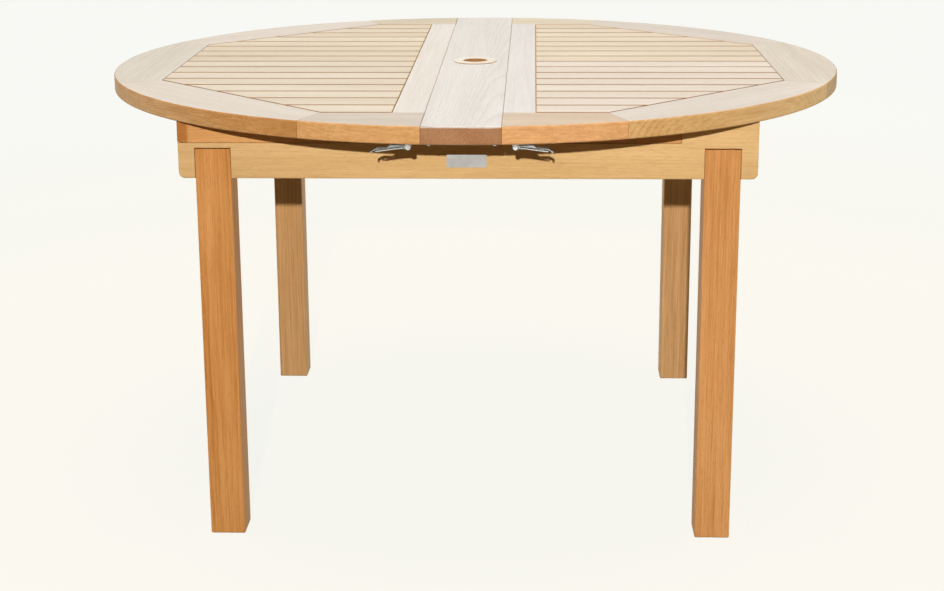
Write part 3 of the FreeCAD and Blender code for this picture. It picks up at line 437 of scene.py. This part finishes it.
ends = [f"{side}_{end}" for side in ("left", "right") for end in ("front", "back")]
metal([end + "_lever" for end in ends] + ["left_latch_bases", "right_latch_bases",
                                          "latch_keepers"],
      "latch_steel", (0.36, 0.36, 0.35), "x", 0.30)
metal([end + "_bail" for end in ends], "wire_steel", (0.62, 0.62, 0.60), "x", 0.26, 0.4, 0.1)
metal(["left_latch_pins", "right_latch_pins"], "pin_steel", (0.64, 0.64, 0.62), "y", 0.28)
metal(["left_screws", "right_screws", "frame_screws", "leg_bolts", "name_plate_pins"],
      "screw_steel", (0.52, 0.53, 0.54), "z", 0.36, 0.5, 0.4)
metal(["centre_board_brackets"], "bracket_steel", (0.54, 0.55, 0.56), "y", 0.38, 0.8, 0.5)
metal(["leaf_hinges"], "hinge_brass", (0.72, 0.52, 0.22), "y", 0.32, 0.8, 0.45)
metal(["name_plate"], "plate_metal", (0.57, 0.55, 0.54), "x", 0.46, 1.0, 0.2)


# ---------------------------------------------------------------- floor and world

BACKGROUND = srgb(248, 249, 244)
FLOOR_REACH = 60.0
FLOOR_PAINT = (0.098, 0.064, 0.016, 1)
FLOOR_GLOW = 0.942              # with the paint lit by the lamps, this gives the background
FLOOR_FADE = (1.0, 4.5)         # distances over which the floor turns into the background
WORLD_LIGHT, WORLD_STRENGTH = (1.0, 0.72, 0.24, 1), 0.055


def seen(s):
    """1 for rays from the camera and for mirrored and refracted rays, 0 for light."""
    path = s.node("LightPath").outputs
    share = s.plus(path["Is Camera Ray"], path["Is Glossy Ray"], clamp=True)
    return s.plus(share, path["Is Transmission Ray"], clamp=True)


def blended(s, share, first, second):
    """The shader node first, with the shader node second over it by share."""
    return s.node("MixShader", {0: share, 1: first.outputs[0], 2: second.outputs[0]})


ground = bpy.data.meshes.new("floor")
ground.from_pydata([(x * FLOOR_REACH, y * FLOOR_REACH, 0)
                    for x, y in ((-1, -1), (1, -1), (1, 1), (-1, 1))], [], [(0, 1, 2, 3)])
floor = bpy.data.objects.new("floor", ground)
bpy.context.scene.collection.objects.link(floor)
ground.materials.append(bpy.data.materials.new("floor_paper"))
paper = Shader(ground.materials[0])
lit = paper.node("BsdfDiffuse", {"Color": FLOOR_PAINT})
glow = paper.node("Emission", {"Color": BACKGROUND, "Strength": FLOOR_GLOW})
near = paper.node("AddShader", {0: lit.outputs[0], 1: glow.outputs[0]})
far = paper.node("Emission", {"Color": BACKGROUND, "Strength": 1.0})
distance = paper.node("VectorMath", {0: paper.node("TexCoord").outputs["Object"]},
                      operation="LENGTH").outputs["Value"]
sheet = blended(paper, paper.ramp(distance, *FLOOR_FADE), near, far)
paper.show(blended(paper, seen(paper), lit, sheet))

world = bpy.data.worlds.new("studio")
bpy.context.scene.world = world
sky = Shader(world)
dim = sky.node("Background", {"Color": WORLD_LIGHT, "Strength": WORLD_STRENGTH})
bright = sky.node("Background", {"Color": BACKGROUND, "Strength": 1.0})
sky.show(blended(sky, seen(sky), dim, bright), "OutputWorld")


# ---------------------------------------------------------------- lamps

WHITE, FLASH_COLOUR, FILL_COLOUR = (1, 1, 1), (1.0, 0.985, 0.96), (0.90, 1.0, 0.80)
PANEL = (3.0, 0.6)


def lamp(name, place, aim, size, power, colour=WHITE, glare=True, lights=True):
    """A rectangle of light at place, turned to aim. Without glare it makes no highlights, and
    without lights it makes nothing else."""
    light = bpy.data.lights.new(name, "AREA")
    light.shape, (light.size, light.size_y) = "RECTANGLE", size
    light.energy, light.color = power, colour
    stand = bpy.data.objects.new(name, light)
    stand.visible_glossy, stand.visible_diffuse = glare, lights
    bpy.context.scene.collection.objects.link(stand)
    stand.matrix_world = (Matrix.Translation(place)
                          @ (Vector(aim) - Vector(place)).to_track_quat("-Z", "Y")
                          .to_matrix().to_4x4())


lamp("flash", (0.02, -5.6, 2.12), (0, 0, 0.5), (0.06, 0.06), 252, FLASH_COLOUR, glare=False)
lamp("glint", (0.3, -5.0, 0.45), (0, 0, 0.6), (0.35, 0.35), 7, lights=False)
lamp("overhead", (0, 0.2, 3.6), (0, 0.2, 0), (3.2, 3.2), 87)
lamp("left_panel", (-4.2, 0.4, 0.42), (0, 0.1, 0.4), PANEL, 54, FILL_COLOUR)
lamp("right_panel", (4.2, 0.4, 0.42), (0, 0.1, 0.4), PANEL, 54, FILL_COLOUR)
lamp("back_panel", (0.4, 4.6, 0.42), (0, 0, 0.4), PANEL, 95, glare=False)


# ---------------------------------------------------------------- camera

WIDTH, HEIGHT = 944, 591        # of the photograph, in pixels, and so are the next two
FOCAL_LENGTH, CENTRE_ROW = 1714.0, 225.0
SENSOR_WIDTH = 36
eye = Vector((0.1069, -3.1237, 1.2082))
pitch, yaw, roll = radians(13.942), radians(-2.105), radians(-0.305)
forward = Vector((sin(yaw) * cos(pitch), cos(yaw) * cos(pitch), -sin(pitch)))
level = Vector((cos(yaw), -sin(yaw), 0))
above = level.cross(forward)
right = level * cos(roll) + above * sin(roll)
up = above * cos(roll) - level * sin(roll)
lens = bpy.data.cameras.new("camera")
lens.sensor_fit, lens.sensor_width = "HORIZONTAL", SENSOR_WIDTH
lens.lens = FOCAL_LENGTH / WIDTH * SENSOR_WIDTH
lens.shift_y = (CENTRE_ROW - HEIGHT / 2) / WIDTH
camera = bpy.data.objects.new("camera", lens)
bpy.context.scene.collection.objects.link(camera)
camera.matrix_world = Matrix.Translation(eye) @ Matrix((right, up, -forward)).transposed().to_4x4()
bpy.context.scene.camera = camera
bpy.context.scene.view_settings.view_transform = "Standard"
